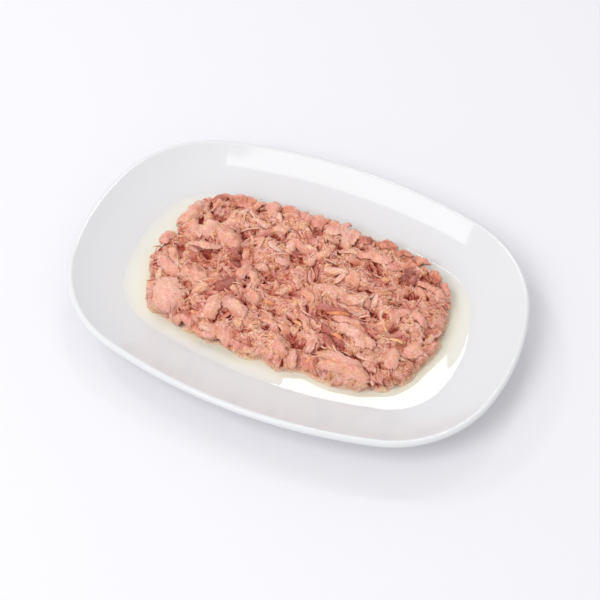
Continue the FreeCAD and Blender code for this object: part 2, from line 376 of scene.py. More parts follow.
# the core of the heap: pressed lumps of shredded flesh
mash = {
    "cellsLong": 400, "cellsWide": 230,
    "sink": 1.5 * mm,           # under the CAD heap's surface, for the loose flakes on top
    "restSmooth": 1.2 * mm,     # blur of what they lie on
    "shoulder": 0.92,           # share of the cells' way out that lies on top
    "seed": 5,
    "lumpSpacing": 7.4 * mm, "rowPitch": 0.87, "jitter": 0.42,   # of the spacing
    "lumpTurn": (-0.35, 0.75), "lumpTone": (0.52, 0.15),        # mean and spread
    "lumpLevel": (-2.4, -1.0), "laidLevel": (-1.2, -0.8),       # of a lump's edge, in mm
    "lumpLean": 0.17, "laidLean": 0.06,
    "lumpLength": (4.0 * mm, 8.0 * mm), "lumpWidth": (2.6 * mm, 4.6 * mm), "lumpRise": (1.2 * mm, 2.2 * mm),
    "crevice": -2.6 * mm, "creviceShadeTone": 0.3,   # how deep the gaps between lumps go, and their darker tone, painted shade
    "ragged": 0.5, "raggedGrain": 0.7 * mm,     # how torn the lumps' outlines are
    "fibres": 30, "messy": (0.15, 0.35, 1.2),   # on each lump, and how far astray they lie
    "fibreLength": (1.0 * mm, 4.4 * mm), "fibreWidth": (0.26 * mm, 0.75 * mm),
    "fibreRise": (0.2 * mm, 0.7 * mm), "fibreBow": 0.12, "fibreTone": 0.14,
    "openingDepth": 2.4 * mm,
    "crumb": 0.215 * mm,        # fine unevenness, by height
    "level": -0.2 * mm,
    # the long far edge stands up in a brow: its height, middle in degrees, and place from the outline in
    "brow": 2.6 * mm, "browTurn": 113, "browFrom": 1.5 * mm, "browTo": 15 * mm, "browFade": 9 * mm,
    "browGrain": 2.2 * mm, "browSeed": 8,
    # painted shade darkens the hollows and painted light lightens the crests: blur, start and span of the hollows,
    # then of the crests
    "hollow": (2.4 * mm, 0.25 * mm, 1.6 * mm), "crest": (0.9 * mm, 0.5 * mm), "paintedCrestLight": 0.22,
    "topShare": 0.955, "flankShare": 0.025, "edgeShare": 0.95,  # of the outline's reach
    # the last of these weighs the painted shade far under the heap's general level
    "foldRate": 1.2, "flankPush": 0.6 * mm, "pushRate": 5, "clear": 0.2 * mm, "paintedShade": 0.4,
    # lumps with a place of their own, in mm: x, y, turn in degrees, half length, half width, rise, tone
    "laid": (
        (-60, -31, -51, 11, 8.6, 3.6, 0.95), (-49, -18, -5, 9.6, 5.2, 1.8, 0.62), (-37, 3, 54, 5, 3.8, 1.6, 0.1),
        (-42, -42, -17, 6.9, 5, 1.8, 0.6), (-43, 28, 17, 8.8, 7.6, 2.4, 0.5), (-35.6, 27, -16, 3.6, 3.4, 3, 0.62),
        (-18.7, 39, -15, 9.5, 6, 1.8, 0.48), (23, 41, 1, 4.8, 4.6, 1.8, 0.5), (32, 45, 54, 6, 4.4, 1.8, 0.62),
        (43, 38, 1, 4.2, 4.4, 2.4, 0.72), (52, 28, -10, 4.6, 4.4, 2.2, 0.12), (-21, 13, 68, 8.8, 8, 2.6, 0.55),
        (-1, 7, 14, 6.1, 4.6, 1.6, 0.75), (-14.7, -5.5, 19, 4.9, 2.8, 1.5, 0.36),
        (-4.4, -4.5, 3, 4.1, 2.6, 1.5, 0.45), (-17.5, -17, -43, 5.3, 3.4, 1.8, 0.7),
        (30, -3.4, 1, 12.1, 3.4, 1.8, 0.7), (38, -39, 13, 14, 3.4, 1.8, 0.72), (49, -39, 10, 7.1, 4, 2, 0.7),
        (47, -10, -37, 6.9, 3.4, 2, 0.5), (55, -23, -25, 7.4, 3.4, 1.8, 0.62), (56, -19, -43, 7.1, 3, 2, 0.55),
        (62, -21.5, -67, 5.2, 4, 2.2, 0.66), (69.5, -13, 36, 5, 5.2, 2.4, 0.74), (42, 10, 12, 5.4, 5.4, 2.4, 0.55),
        (50, 2, -12, 6.7, 5.4, 2.4, 0.64), (62, 4, 29, 6, 4.4, 3.2, 0.66), (67, -2, -30, 5, 4, 3, 0.7),
        (69, 14, 4, 6.5, 3.6, 2, 0.45), (73, 8, 70, 5.6, 3.4, 2.2, 0.6), (76, -2, 74, 5.2, 3.6, 2.2, 0.6),
        (69, -25, 34, 6.5, 4.6, 2.2, 0.62), (1, -41, 6, 9.3, 7, 2.6, 0.78), (-6, -37, -9, 5, 4.6, 2.2, 0.78),
        (-12, -30, -5, 5.4, 5.2, 2.2, 0.72), (1.4, -14.5, 17, 5.2, 4.2, 1.6, 0.62),
        (13, 12.5, 19, 4.9, 4.4, 1.8, 0.6), (22, 17, -22, 6.5, 4.4, 2, 0.72), (30, 16, -35, 5.7, 4.2, 2, 0.66),
        (7, 27, 88, 4.2, 4.4, 2, 0.68), (-76, 4, 70, 4.2, 4.6, 1.8, 0.74), (-71, 18, 65, 8.3, 5, 1.8, 0.72),
        (-55, 38, 20, 8, 4, 2, 0.5), (-45, 44, 8, 7, 3.4, 1.8, 0.55),
    ),
    # dark openings between them, in mm: x, y, radius
    "openings": (
        (-3, 36, 3.4), (-57.5, 25, 2.8), (-26, -30, 3.6), (-26, -4.5, 2.6), (-9.4, 16.8, 2), (-57.7, -4.5, 2.6),
        (-51, 0, 2.4), (56, 15.7, 2.6), (57, -6, 3.2), (15.6, -33, 2.2), (27.4, -31, 2.8), (44.7, 18.4, 2),
        (-35, -43, 2.2), (0, 25.7, 2.2), (-52, -22, 2.6), (-36, 3, 2.8), (-18.5, -21, 2.8), (-16.4, -4.7, 2),
        (-15, 22, 2), (-33, -13, 2), (-64, -6.5, 2), (26, 12, 2.2), (30.3, 26, 2.8), (-25, -11, 2), (40, -6.3, 2.4),
        (58.7, -27.6, 2.6), (73.5, -18, 2.4), (31.7, 8.6, 2), (12.9, -33, 2.2), (14.7, -14.4, 2), (-43, -25.8, 2.2),
        (-2.7, -30.4, 2.2), (-16, 15, 1.8), (50, -1.2, 2.2), (64, 19, 2.2), (73, 2.7, 2.2), (-18, -16, 2),
        (-21.7, -30, 2), (47, 23.5, 2.4), (-43.8, -37.6, 1.4), (-5.5, 30, 2.4), (44, -18, 2),
    ),
}


def stamp(x, y, reach):
    # the raster cells round a place: a window, and each cell's offsets from the place
    i0, i1 = np.searchsorted(bedX, (x - reach, x + reach))
    j0, j1 = np.searchsorted(bedY, (y - reach, y + reach))
    gx, gy = np.meshgrid(bedX[i0:i1] - x, bedY[j0:j1] - y)
    return (slice(j0, j1), slice(i0, i1)), gx, gy


def alongAcross(gx, gy, turn):
    return (gx * math.cos(turn) + gy * math.sin(turn), -gx * math.sin(turn) + gy * math.cos(turn))


def lumpRows(rng):
    # lumps at random and then the laid ones: place, turn, half length and width, rise, level, tone, lean
    step = mash["lumpSpacing"]
    shift = mash["jitter"]
    lumps = []
    for row, y in enumerate(np.arange(bedY[0], bedY[-1] + step, step * mash["rowPitch"])):
        for x in np.arange(bedX[0] + (row % 2) * step / 2, bedX[-1] + step, step):
            lumps.append((x + rng.uniform(-shift, shift) * step, y + rng.uniform(-shift, shift) * step,
                          mash["lumpTurn"][0] + rng.normal(0, mash["lumpTurn"][1]),
                          rng.uniform(*mash["lumpLength"]), rng.uniform(*mash["lumpWidth"]),
                          rng.uniform(*mash["lumpRise"]), rng.uniform(*mash["lumpLevel"]) * mm,
                          rng.normal(*mash["lumpTone"]), mash["lumpLean"]))
    rng.shuffle(lumps)
    for x, y, turn, length, width, rise, own in mash["laid"]:
        lumps.append((x * mm, y * mm, math.radians(turn), length * mm, width * mm, rise * mm,
                      rng.uniform(*mash["laidLevel"]) * mm, own, mash["laidLean"]))
    return lumps


def pressLumps():
    # relief, tone with painted shade in the gaps, and fibre direction of the mash: lumps, fibres lying along each of
    # them, openings
    rng = np.random.default_rng(mash["seed"])
    relief = np.full(bedTop.shape, mash["crevice"])
    fibreRelief = np.zeros(bedTop.shape)
    # the gaps between lumps start darker on the tone ramp: painted shade
    tone = np.full(bedTop.shape, mash["creviceShadeTone"])
    turnMap = np.zeros(bedTop.shape)
    torn = smoothed(rng.normal(0, 1, bedTop.shape), mash["raggedGrain"])
    torn = mash["ragged"] * torn / torn.std()

    def press(field, window, inside, value, own, turn):
        # the highest stamp wins a cell, and gives it its tone and direction
        wins = (inside > 0) & (value > field[window])
        for kept, new in ((field, value[wins]), (tone, own), (turnMap, turn)):
            kept[window][wins] = new

    fibres = []
    for x, y, turn, length, width, rise, level, own, lean in lumpRows(rng):
        leanX, leanY = rng.normal(0, lean, 2)
        messy = rng.choice(mash["messy"])
        window, gx, gy = stamp(x, y, length * 1.1)
        if gx.size == 0:
            continue
        along, across = alongAcross(gx, gy, turn)
        wave = 0.14 * np.sin(3 * np.arctan2(across, along) + own * 30)
        inside = 1 - np.abs(along / length) ** 3 - np.abs(across / width) ** 2.6 + wave
        inside = inside + torn[window] * 0.35
        value = level + rise * unit(inside) ** 0.42 + leanX * gx + leanY * gy
        press(relief, window, inside, value, own, turn)
        for _ in range(mash["fibres"]):
            fibres.append((x + rng.uniform(-1, 1) * length, y + rng.uniform(-1, 1) * length,
                           turn + rng.normal(0, messy), own + rng.normal(0, mash["fibreTone"])))
    rng.shuffle(fibres)
    for x, y, turn, own in fibres:
        length, width = rng.uniform(*mash["fibreLength"]), rng.uniform(*mash["fibreWidth"])
        rise, bow = rng.uniform(*mash["fibreRise"]), rng.uniform(-mash["fibreBow"], mash["fibreBow"]) / mm
        window, gx, gy = stamp(x, y, length)
        if gx.size == 0:
            continue
        along, across = alongAcross(gx, gy, turn)
        inside = 1 - np.abs(along / length) ** 3 - np.abs((across + bow * along ** 2) / width) ** 2
        press(fibreRelief, window, inside, rise * unit(inside) ** 0.5, own, turn)
    for x, y, radius in mash["openings"]:
        window, gx, gy = stamp(x * mm, y * mm, radius * 1.3 * mm)
        hole = 1 - (gx ** 2 + (1.3 * gy + 0.3 * gx) ** 2) / (radius * mm) ** 2 + torn[window] * 0.4
        relief[window] -= mash["openingDepth"] * unit(hole) ** 0.7
    crumb = rng.normal(0, 1, bedTop.shape)
    crumb = (crumb + np.roll(crumb, 1, 0) + np.roll(crumb, 1, 1) + np.roll(crumb, (1, 1), (0, 1))) / 2
    return relief + fibreRelief + mash["level"] + crumb * mash["crumb"], tone, turnMap


def shadeMash(relief, tone):
    # painted shade in the hollows, 0 to 1, and the tone with painted light on its crests
    blur, start, span = mash["hollow"]
    hollow = unit((smoothed(relief, blur) - relief - start) / span)
    blur, span = mash["crest"]
    crest = np.clip((relief - smoothed(relief, blur)) / span, -1, 1)
    hollow = unit(hollow + 0.55 * unit(-crest - 0.15))
    return hollow, tone + mash["paintedCrestLight"] * crest


mashRelief, mashToneWithPaintedShading, mashTurn = pressLumps()
mashHollowShade, mashToneWithPaintedShading = shadeMash(mashRelief, mashToneWithPaintedShading)


def browRise():
    # the far edge of the heap stands up in an uneven brow
    gx, gy = np.meshgrid(bedX - heapCentre.x, bedY - heapCentre.y)
    angle = np.arctan2(gy, gx)
    inward = reachAt(angle) - np.hypot(gx, gy)
    facing = unit(1.6 * np.cos(angle - math.radians(mash["browTurn"])))
    band = unit(inward / mash["browFrom"]) * unit((mash["browTo"] - inward) / mash["browFade"])
    rough = smoothed(np.random.default_rng(mash["browSeed"]).normal(0, 1, bedTop.shape), mash["browGrain"])
    return mash["brow"] * facing * band * np.clip(0.75 + 0.4 * rough / rough.std(), 0.1, 1.5)


mashTop = bedSmooth - mash["sink"] + mashRelief + browRise()
restTop = smoothed(mashTop, mash["restSmooth"])


def makeMash(material):
    bm = gridMesh(mash["cellsLong"], mash["cellsWide"])
    uv = np.array([v.co[:2] for v in bm.verts])
    halfL, halfW = (heapHigh.x - heapLow.x) / 2, (heapHigh.y - heapLow.y) / 2
    out = np.maximum(np.abs(uv[:, 0]), np.abs(uv[:, 1]))
    angle = np.arctan2(uv[:, 1] * halfW, uv[:, 0] * halfL)
    reach, east, north = reachAt(angle), np.cos(angle), np.sin(angle)
    shoulder, topShare, edgeShare = mash["shoulder"], mash["topShare"], mash["edgeShare"]
    onTop = out <= shoulder
    share = np.where(onTop, out / shoulder * topShare,
                     topShare + mash["flankShare"] * (out - shoulder) / (1 - shoulder))
    x = heapCentre.x + share * reach * east
    y = heapCentre.y + share * reach * north
    edgeZ = sample(mashTop, heapCentre.x + edgeShare * reach * east, heapCentre.y + edgeShare * reach * north)
    fall = unit((out - shoulder) / (1 - shoulder))
    z = np.where(onTop, sample(mashTop, x, y), edgeZ + (wellFloor - mash["clear"] - edgeZ) * fall)
    # the flank reads the relief further in, as if the raster were folded down over the edge
    inward = mash["foldRate"] * (edgeZ - z) * (1 - onTop)
    foldX, foldY = x - inward * east, y - inward * north
    push = (sample(mashRelief, foldX, foldY) + mash["flankPush"]) * np.minimum(fall * mash["pushRate"], 1)
    push = np.where(onTop, 0, push)
    x, y = x + push * east, y + push * north
    z = np.minimum(z, heapHigh.z - mash["clear"])
    for v, place in zip(bm.verts, zip(x, y, z)):
        v.co = place
    for f in bm.faces:
        f.smooth = True
    bmesh.ops.holes_fill(bm, edges=[e for e in bm.edges if e.is_boundary], sides=0)
    bmesh.ops.recalc_face_normals(bm, faces=bm.faces)
    mesh = meshFrom(bm, "mash")
    toneX, toneY = np.where(onTop, x, foldX), np.where(onTop, y, foldY)
    # the tone carries painted light on crests and painted shade in gaps; the next attribute is painted shade in
    # hollows and deep under the heap's general level
    setAttribute(mesh, "tone", sample(mashToneWithPaintedShading, toneX, toneY))
    paintedShade = sample(mashHollowShade, toneX, toneY) + mash["paintedShade"] * depthBelow(np.stack([x, y, z], 1))
    setAttribute(mesh, "paintedShade", unit(paintedShade))
    turn = sample(mashTurn, toneX, toneY)
    u = x * np.cos(turn) + y * np.sin(turn)
    v = -x * np.sin(turn) + y * np.cos(turn)
    loops = np.empty(len(mesh.loops), dtype=np.int32)
    mesh.loops.foreach_get("vertex_index", loops)
    layer = mesh.uv_layers.new(name="fibre")
    layer.data.foreach_set("uv", np.stack([u[loops], v[loops]], 1).ravel())
    return finish("mashCore", mesh, material, "fish", "fish_heap")


def leafTemplate(along, across):
    # a flat closed leaf, two units long and wide, as arrays
    bm = gridMesh(along, across)
    bmesh.ops.solidify(bm, geom=bm.faces[:], thickness=1.0)
    bmesh.ops.recalc_face_normals(bm, faces=bm.faces)
    bm.verts.ensure_lookup_table()
    points = np.array([v.co[:] for v in bm.verts])
    points[:, 2] = np.where(points[:, 2] > points[:, 2].mean(), 1.0, -1.0)
    faces = [[v.index for v in f.verts] for f in bm.faces]
    bm.free()
    return points, faces


def bentLeaf(points, flake, rng):
    # shapes a template into one flake along +X round the origin; also how its surface is folded
    u, v, side = points[:, 0], points[:, 1], points[:, 2]
    p = rng.uniform(-3, 3, 12)
    lobe = np.tanh(3 * v)
    taper = (1 - np.abs(u) ** flake["blunt"]) ** 0.55
    ragged = 0.16 * np.sin(2.9 * u + p[0] + 1.7 * lobe) + 0.1 * np.sin(7.7 * u + p[1] + 2.3 * lobe)
    ragged = 1 + flake["torn"] * (ragged + 0.07 * np.sin(17 * u + p[9] + 3 * lobe))
    ends = flake["jag"] * u ** 4 * (np.sin(3.7 * v + p[2] + u) + 0.7 * np.sin(8.6 * v + p[3] * u))
    x = flake["length"] * u * (1 + ends)
    width = flake["width"] * (0.18 + 0.82 * taper) * ragged
    y = width * v + flake["sway"] * flake["length"] * (u ** 2 - 0.4)
    thick = flake["thick"] * (1 - 0.8 * v ** 2) * (1 - 0.75 * u ** 4)
    ridge = flake["ridge"] * np.cos(v * math.pi * flake["ridges"] + p[4] + 0.9 * np.sin(2 * u + p[5]))
    rumple = flake["rumple"] * (np.sin(x * 0.9 / mm + y * 0.7 / mm + p[6])
                                + np.sin(y * 1.5 / mm - x * 0.5 / mm + p[7])
                                + 0.7 * np.sin(x * 2.1 / mm + y * 1.1 / mm + p[8]))
    crown = np.abs(np.clip(v - 0.35 * math.sin(p[10]), -1, 1)) ** flake["crest"]
    z = side * thick / 2 + (ridge + rumple) * (1 - 0.6 * v ** 2) + flake["cup"] * width * 0.5 * (1 - crown)
    bend = flake["bend"]
    if abs(bend) > 0.02:
        radius = 2 * flake["length"] / bend
        turn = x / radius
        x, z = (radius + z) * np.sin(turn), (radius + z) * np.cos(turn) - radius
        z = z + abs(radius) * (1 - math.cos(bend / 2)) * 0.5 * math.copysign(1, bend)
    twist = flake["twist"] * u + flake["roll"]
    y, z = y * np.cos(twist) - z * np.sin(twist), y * np.sin(twist) + z * np.cos(twist)
    fold = (ridge + rumple) / (flake["ridge"] + 2 * flake["rumple"])
    return np.stack([x, y, z], 1), fold


# how leaves lie: space under the heap's top and over the well's floor, reach past the outline, sinking
# where that pushes them in, and how far the laid ones follow the ground
rest = {"headroom": 0.03 * mm, "footroom": 0.05 * mm, "stray": 0.3 * mm, "sinking": 0.6, "follow": 0.6}
# painted light and shade of the leaves: lighter at their sides and on raised folds, darker in furrows, deep in the
# heap and where the mash buries them
paintedLeafShading = {"side": 0.1, "base": -0.03, "fold": 0.16, "paintedShade": 0.8,
           "buried": 0.45, "buriedFrom": 0.5 * mm, "buriedSpan": 1.1 * mm, "uvStep": 0.037}


def settle(leaf, place, turn, lift, follow, stray=rest["stray"]):
    # turns a leaf on the spot, lays it over the mash and keeps it inside the heap's outline
    spun = leaf @ np.array(Matrix.Rotation(turn, 3, "Z")).T
    x, y = spun[:, 0] + place[0], spun[:, 1] + place[1]
    ground = sample(restTop, *place)
    z = spun[:, 2] + ground + lift + follow * (sample(restTop, x, y) - ground)
    dx, dy = x - heapCentre.x, y - heapCentre.y
    far = np.hypot(dx, dy)
    limit = reachAt(np.arctan2(dy, dx)) + stray
    over = np.clip(far - limit, 0, None)
    shrink = (far - over) / np.maximum(far, 1e-9)
    x, y, z = heapCentre.x + dx * shrink, heapCentre.y + dy * shrink, z - rest["sinking"] * over
    z = z - max(z.max() - (heapHigh.z - rest["headroom"]), 0)
    return np.stack([x, y, np.maximum(z, wellFloor + rest["footroom"])], 1)


def joinedLeaves(name, template, placed, material):
    # placed: points, folds (for painted light and shade), tone and size of each leaf; all leaves become one mesh
    points, faces = template
    leaves, folds, tones, plan = zip(*placed)
    count, n = len(points), len(placed)
    allPoints = np.concatenate(leaves)
    corners = np.array([c for f in faces for c in f])
    sizes = np.array([len(f) for f in faces])
    mesh = bpy.data.meshes.new(name)
    mesh.vertices.add(n * count)
    mesh.vertices.foreach_set("co", allPoints.ravel())
    loopVerts = (corners[None, :] + np.arange(n)[:, None] * count).ravel()
    mesh.loops.add(len(loopVerts))
    mesh.loops.foreach_set("vertex_index", loopVerts)
    mesh.polygons.add(n * len(faces))
    mesh.polygons.foreach_set("loop_start", np.concatenate([[0], np.cumsum(np.tile(sizes, n))[:-1]]))
    mesh.update(calc_edges=True)
    mesh.validate()
    mesh.shade_smooth()
    # painted light at the sides and on raised folds, painted shade in furrows, deep in the heap and where the mash
    # covers a leaf
    paintedSideLight = paintedLeafShading["side"] * np.abs(points[:, 1]) ** 3 + paintedLeafShading["base"]
    tonesWithPaintedLight = [tone + paintedSideLight + paintedLeafShading["fold"] * fold for tone, fold in zip(tones, folds)]
    setAttribute(mesh, "tone", np.concatenate(tonesWithPaintedLight))
    under = sample(mashTop, allPoints[:, 0], allPoints[:, 1]) + paintedLeafShading["buriedFrom"] - allPoints[:, 2]
    buried = paintedLeafShading["buried"] * unit(under / paintedLeafShading["buriedSpan"])
    setAttribute(mesh, "paintedShade", unit(depthBelow(allPoints) * paintedLeafShading["paintedShade"] + buried))
    uv = np.concatenate([points[:, :2] * size + k * paintedLeafShading["uvStep"] for k, size in enumerate(plan)])
    layer = mesh.uv_layers.new(name="fibre")
    layer.data.foreach_set("uv", uv[loopVerts].ravel())
    return finish(name, mesh, material, "fish", "fish_heap")


def strew(kind, rng, material):
    # lays a kind's leaves at random over the heap, mostly along the fibres under them
    template = leafTemplate(*kind["cells"])
    placed = []
    while len(placed) < kind["count"]:
        x, y = rng.uniform(heapLow.x, heapHigh.x), rng.uniform(heapLow.y, heapHigh.y)
        flat = math.hypot(x - heapCentre.x, y - heapCentre.y)
        if flat > reachAt(math.atan2(y - heapCentre.y, x - heapCentre.x)) * kind["within"]:
            continue
        flake = dict(kind)
        for key in ("length", "widthShare", "thickShare", "bend", "cup", "crest", "twist", "sway", "blunt", "lift"):
            flake[key] = rng.uniform(*kind[key])
        flake["width"] = flake["length"] * flake["widthShare"]
        flake["thick"] = flake["width"] * flake["thickShare"]
        flake["roll"] = rng.normal(0, kind["tilt"])
        turn = float(sample(mashTurn, x, y)) + rng.normal(0, kind["astray"])
        leaf, fold = bentLeaf(template[0], flake, rng)
        leaf = settle(leaf, (x, y), turn, flake["lift"], kind["follow"])
        tone = float(unit(rng.normal(*kind["tone"])))
        placed.append((leaf, fold, tone, (flake["length"], flake["width"])))
    return joinedLeaves(kind["name"], template, placed, material)


# loose flakes and shreds, each with values at random between the two given; tone has a mean and a spread,
# tilt and astray only a spread
mediumFlakes = {
    "name": "mediumFlakes", "cells": (6, 3), "count": 320, "within": 0.985, "follow": 0.7,
    "length": (2.6 * mm, 6.4 * mm), "widthShare": (0.24, 0.5), "thickShare": (0.16, 0.3),
    "bend": (-0.4, 1.2), "cup": (0.0, 0.7), "crest": (1.1, 2.2), "twist": (-0.5, 0.5),
    "sway": (-0.14, 0.14), "blunt": (2.0, 6.0), "lift": (-0.3 * mm, 0.35 * mm),
    "tilt": 0.3, "astray": 0.5, "tone": (0.6, 0.22),
    "torn": 1.0, "jag": 0.12, "ridges": 3, "ridge": 0.07 * mm, "rumple": 0.1 * mm,
}
smallShreds = {
    "name": "smallShreds", "cells": (5, 2), "count": 1500, "within": 0.985, "follow": 0.7,
    "length": (1.2 * mm, 3.6 * mm), "widthShare": (0.1, 0.28), "thickShare": (0.4, 0.8),
    "bend": (-0.8, 1.2), "cup": (-0.2, 0.4), "crest": (1.5, 2.0), "twist": (-0.7, 0.7),
    "sway": (-0.2, 0.2), "blunt": (2.0, 5.0), "lift": (0.0, 0.45 * mm),
    "tilt": 0.4, "astray": 0.6, "tone": (0.58, 0.24),
    "torn": 1.0, "jag": 0.05, "ridges": 1, "ridge": 0.03 * mm, "rumple": 0.03 * mm,
}

# flakes with a place of their own: x, y, turn, half length, half width, tone, thickness, lift, bend, cup, roll;
# a row may end early, where the rest is as usual; lengths in mm, turn and roll in degrees, bend in radians
largeFlakes = {
    "name": "largeFlakes", "cells": (40, 14), "seed": 21, "stray": 1.2 * mm,
    "torn": 1.0, "jag": 0.1, "ridges": 6, "ridge": 0.11 * mm, "rumple": 0.2 * mm,
    "usual": (0.72, 1.3, 0.2, 0.8, 0.8, 0),
    "laid": (
        (-64, 11.4, -50, 6.4, 3.6, 0.85, 1.2, 0.6, 0.6, 0.9, 20), (-57, 14.5, 64, 6.4, 4.6, 0.85, 1.4, 0.9),
        (-46, 14, -30, 11.4, 5.4, 0.8, 1.5, 0.9, 1.1, 0.9, 8), (-55, 3.6, 20, 9.2, 2.8, 0.9, 1.2, 0.7, 0.5, 0.7, -12),
        (-66.5, -15.5, -33, 9.8, 3.2, 0.75, 1.3, 0.3, 0.6, 0.6, 10),
        (-64, -11, -42, 8.4, 2.6, 0.8, 1.2, 0.6, 0.5, 0.6, -8), (-52, -15, -8, 8, 3.4, 0.7, 1.3, 0.5, 0.5, 0.6, 12),
        (-28.4, -3, 87, 6.4, 2.6, 0.72, 1.4, 0.8, 1.6, 0.6), (-22.4, -5.4, -46, 6.4, 2.3, 0.72, 1.3, 0.8, 1, 0.7),
        (-34.5, -29.5, 80, 8, 5.2, 0.84, 1.5, 0.8, 1.3, 0.9, -6),
        (-23, -26.5, -28, 8, 4, 0.92, 1.5, 0.9, 1, 0.9, -10), (-24, -40.5, -15, 7.2, 3.8, 0.87, 1.3, 0.5, 0.6, 0.7),
        (-32, 41.5, -82, 8.4, 3.6, 0.74, 1.3, 0.5, 0.5, 0.8, 12),
        (-5.5, 44, 79, 6.6, 4.2, 0.68, 2, 0.6, 0.7, 0.8, 10), (8, 40, 5, 9, 4.6, 0.86, 1.3, 0.7, 0.4, 0.6, -16),
        (11.5, 38.5, -58, 9.8, 3, 0.88, 1.3, 0.9, 0.5, 0.8, 8),
        (30.5, 32.5, 8, 9.8, 3.6, 0.72, 1.2, 0.4, 0.4, 0.5, -6),
        (48, 39, -53, 6.6, 3.6, 0.35, 1.3, 0.5, 0.6, 0.6, 14), (-12.5, 10, -3, 4, 2.2, 0.85, 1, 0.7, 0.5, 0.6),
        (1.3, 16.7, 79, 4, 2, 0.9, 1.1, 0.8, 0.5, 0.7, 14), (-8, 23, -15, 7.7, 2.2, 0.64, 1.1, 0.5, 0.5, 0.6, 12),
        (0, 0.7, -49, 4.4, 2, 0.85, 1.1, 0.8, 0.5, 0.7), (23, 1.5, -3, 16.4, 3.8, 0.8, 1.4, 0.7, 0.5, 0.8, -8),
        (33, -11.5, 4, 8, 2.2, 0.7, 1.2, 0.7, 0.5, 0.6, 10), (40, -37.5, 12, 12, 2.4, 0.76, 1.3, 0.6, 0.6, 0.7, 10),
        (21.3, -30.5, 86, 5.4, 2.4, 0.92, 1.4, 0.9, 0.6, 0.8, -10), (15.4, -40.5, -67, 5.4, 2, 0.8, 1.3, 0.8),
        (38, -33.8, 1, 13, 2.8, 0.88, 1.4, 0.9, 0.7, 0.8, 16), (38, -16.5, -3, 9.6, 4.2, 0.9, 1.4, 0.9, 0.5, 0.9),
        (46, -20.5, 13, 5.6, 4.2, 0.96, 1.4, 0.9, 0.5, 0.8, 6),
        (65, 25.5, -11, 8.8, 3.2, 0.64, 1.3, 0.4, 0.6, 0.7, -8), (-76, 2, 70, 4.4, 3.6, 0.76, 1.3, 0.3, 0.7),
        (-71, 20, 65, 8.6, 4, 0.72, 1.3, 0.3, 0.7, 0.7, 10), (-60, 36, 85, 7, 2.4, 0.74, 1.2, 0.7, 0.4),
        (-48, 38, 12, 7, 2.6, 0.5, 1.2, 0.2, 0.6, 0.7, 10), (48, -38, 10, 7.4, 3.2, 0.72, 1.3, 0.5, 0.7, 0.7, 10),
        (13.7, -21, -48, 6.6, 2, 0.74, 1.1, 0.7, 0.6, 0.7), (-17.5, -16, -43, 5.4, 2.6, 0.72, 1.2, 0.6, 0.7),
        (57, 3.5, 50, 5, 2.4, 0.66, 1.4, 0.6, 1.2), (66, 4, -20, 5.4, 2.6, 0.7, 1.4, 0.6, 1.3),
        (-76.6, 2.5, 60, 2.6, 2.2, 0.75, 1.4, 1.5, 0.8, 0.9), (-60.4, 36, 30, 4, 2.6, 0.15, 1.4, 1.6, 0.8, 0.8, 20),
        (-55.7, 38.6, -20, 4, 2.6, 0.35, 1.3, 1.6, 0.7, 0.8, -10),
        (-50.5, 40, 15, 4.4, 3, 0.45, 1.3, 1.8, 0.7, 0.9, 10), (-45, 41, -30, 3.6, 2.6, 0.3, 1.3, 1.6),
        (-38.8, 39.5, 60, 4.4, 2.2, 0.6, 1.3, 1.2, 1.2), (-31.6, 41.5, 40, 4.6, 3.2, 0.62, 1.4, 1.8, 0.8, 0.9, 10),
        (-21.2, 43, 10, 5.2, 3.2, 0.45, 1.3, 1.6, 0.7, 0.9, -8), (-12.4, 42, -30, 4.6, 3, 0.5, 1.3, 1.4, 0.7, 0.9),
        (5.6, 42, -10, 5.2, 3, 0.72, 1.4, 1.4, 0.6), (9.7, 47, 75, 3.2, 1.6, 0.8, 1.1, 2.6, 0.5, 0.6, 20),
        (15.2, 39, 70, 6.2, 3.4, 0.86, 1.3, 1.8, 0.6, 0.7), (21.2, 41, 0, 4.2, 2.8, 0.2, 1.3, 0.8, 0.7),
        (34.1, 43, 12, 5.2, 3, 0.3, 1.4, 1.2, 0.7), (44.4, 39.5, 20, 4.4, 2.8, 0.3, 1.3, 1.6, 0.7),
        (45.4, 43.5, -60, 3, 0.8, 0.6, 0.7, 2.4, 0.5, 0.6, 10), (54.7, 41, 30, 4.4, 3.2, 0.5, 1.4, 2, 0.8, 0.9),
        (64, 34.5, -30, 4.2, 2.6, 0.4, 1.3, 1.6, 0.7), (70.9, 30, -40, 4, 2.2, 0.55, 1.3, 1.4, 0.7),
        (-43.7, -40, -30, 4.4, 2.4, 0.7, 1.2), (-36.5, -43, -20, 4.2, 2.2, 0.45, 1.2),
        (-30.7, -44.5, 10, 4, 2, 0.8, 1.2), (-21.5, -42.5, -35, 5, 2.6, 0.72, 1.2),
        (-15.1, -43, -15, 4.6, 2.4, 0.6, 1.2), (7.7, -39.1, -20, 5, 2.6, 0.66, 1.2),
        (14.2, -40.2, 88, 4.6, 1.6, 0.8, 1.2), (23.5, -40.1, -10, 4.6, 2.4, 0.6, 1.2),
    ),
}
# blocks of firm flesh with smooth skins
smoothChunks = {
    "name": "smoothChunks", "cells": (30, 20), "seed": 61, "stray": 0.8 * mm,
    "torn": 0.5, "jag": 0.06, "ridges": 3, "ridge": 0.14 * mm, "rumple": 0.2 * mm,
    "usual": (0.6, 2.4, 0.5, 0.6, 0.7, 0),
    "laid": (
        (-59.6, -31.4, -51, 9.8, 8, 0.96, 3.8, 0.5, 0.5, 0.5, 6), (-4.8, 44, 20, 4.8, 3.6, 0.7, 3, 2.4, 0.5, 0.7, 8),
        (61.5, -22.8, -67, 5.8, 3.8, 0.72, 2.4, 0.3, 0.4, 0.6, 10),
        (69.5, -13.5, 56, 5.2, 4, 0.78, 2.6, 0.2, 0.6, 0.7, -12), (-30, 3, 60, 3.6, 2.8, 0.6, 2.4, 0.6, 0.6, 0.8),
        (8, -5, -30, 5.6, 2.4, 0.6, 1.6, 0.4, 0.6, 0.8),
    ),
}
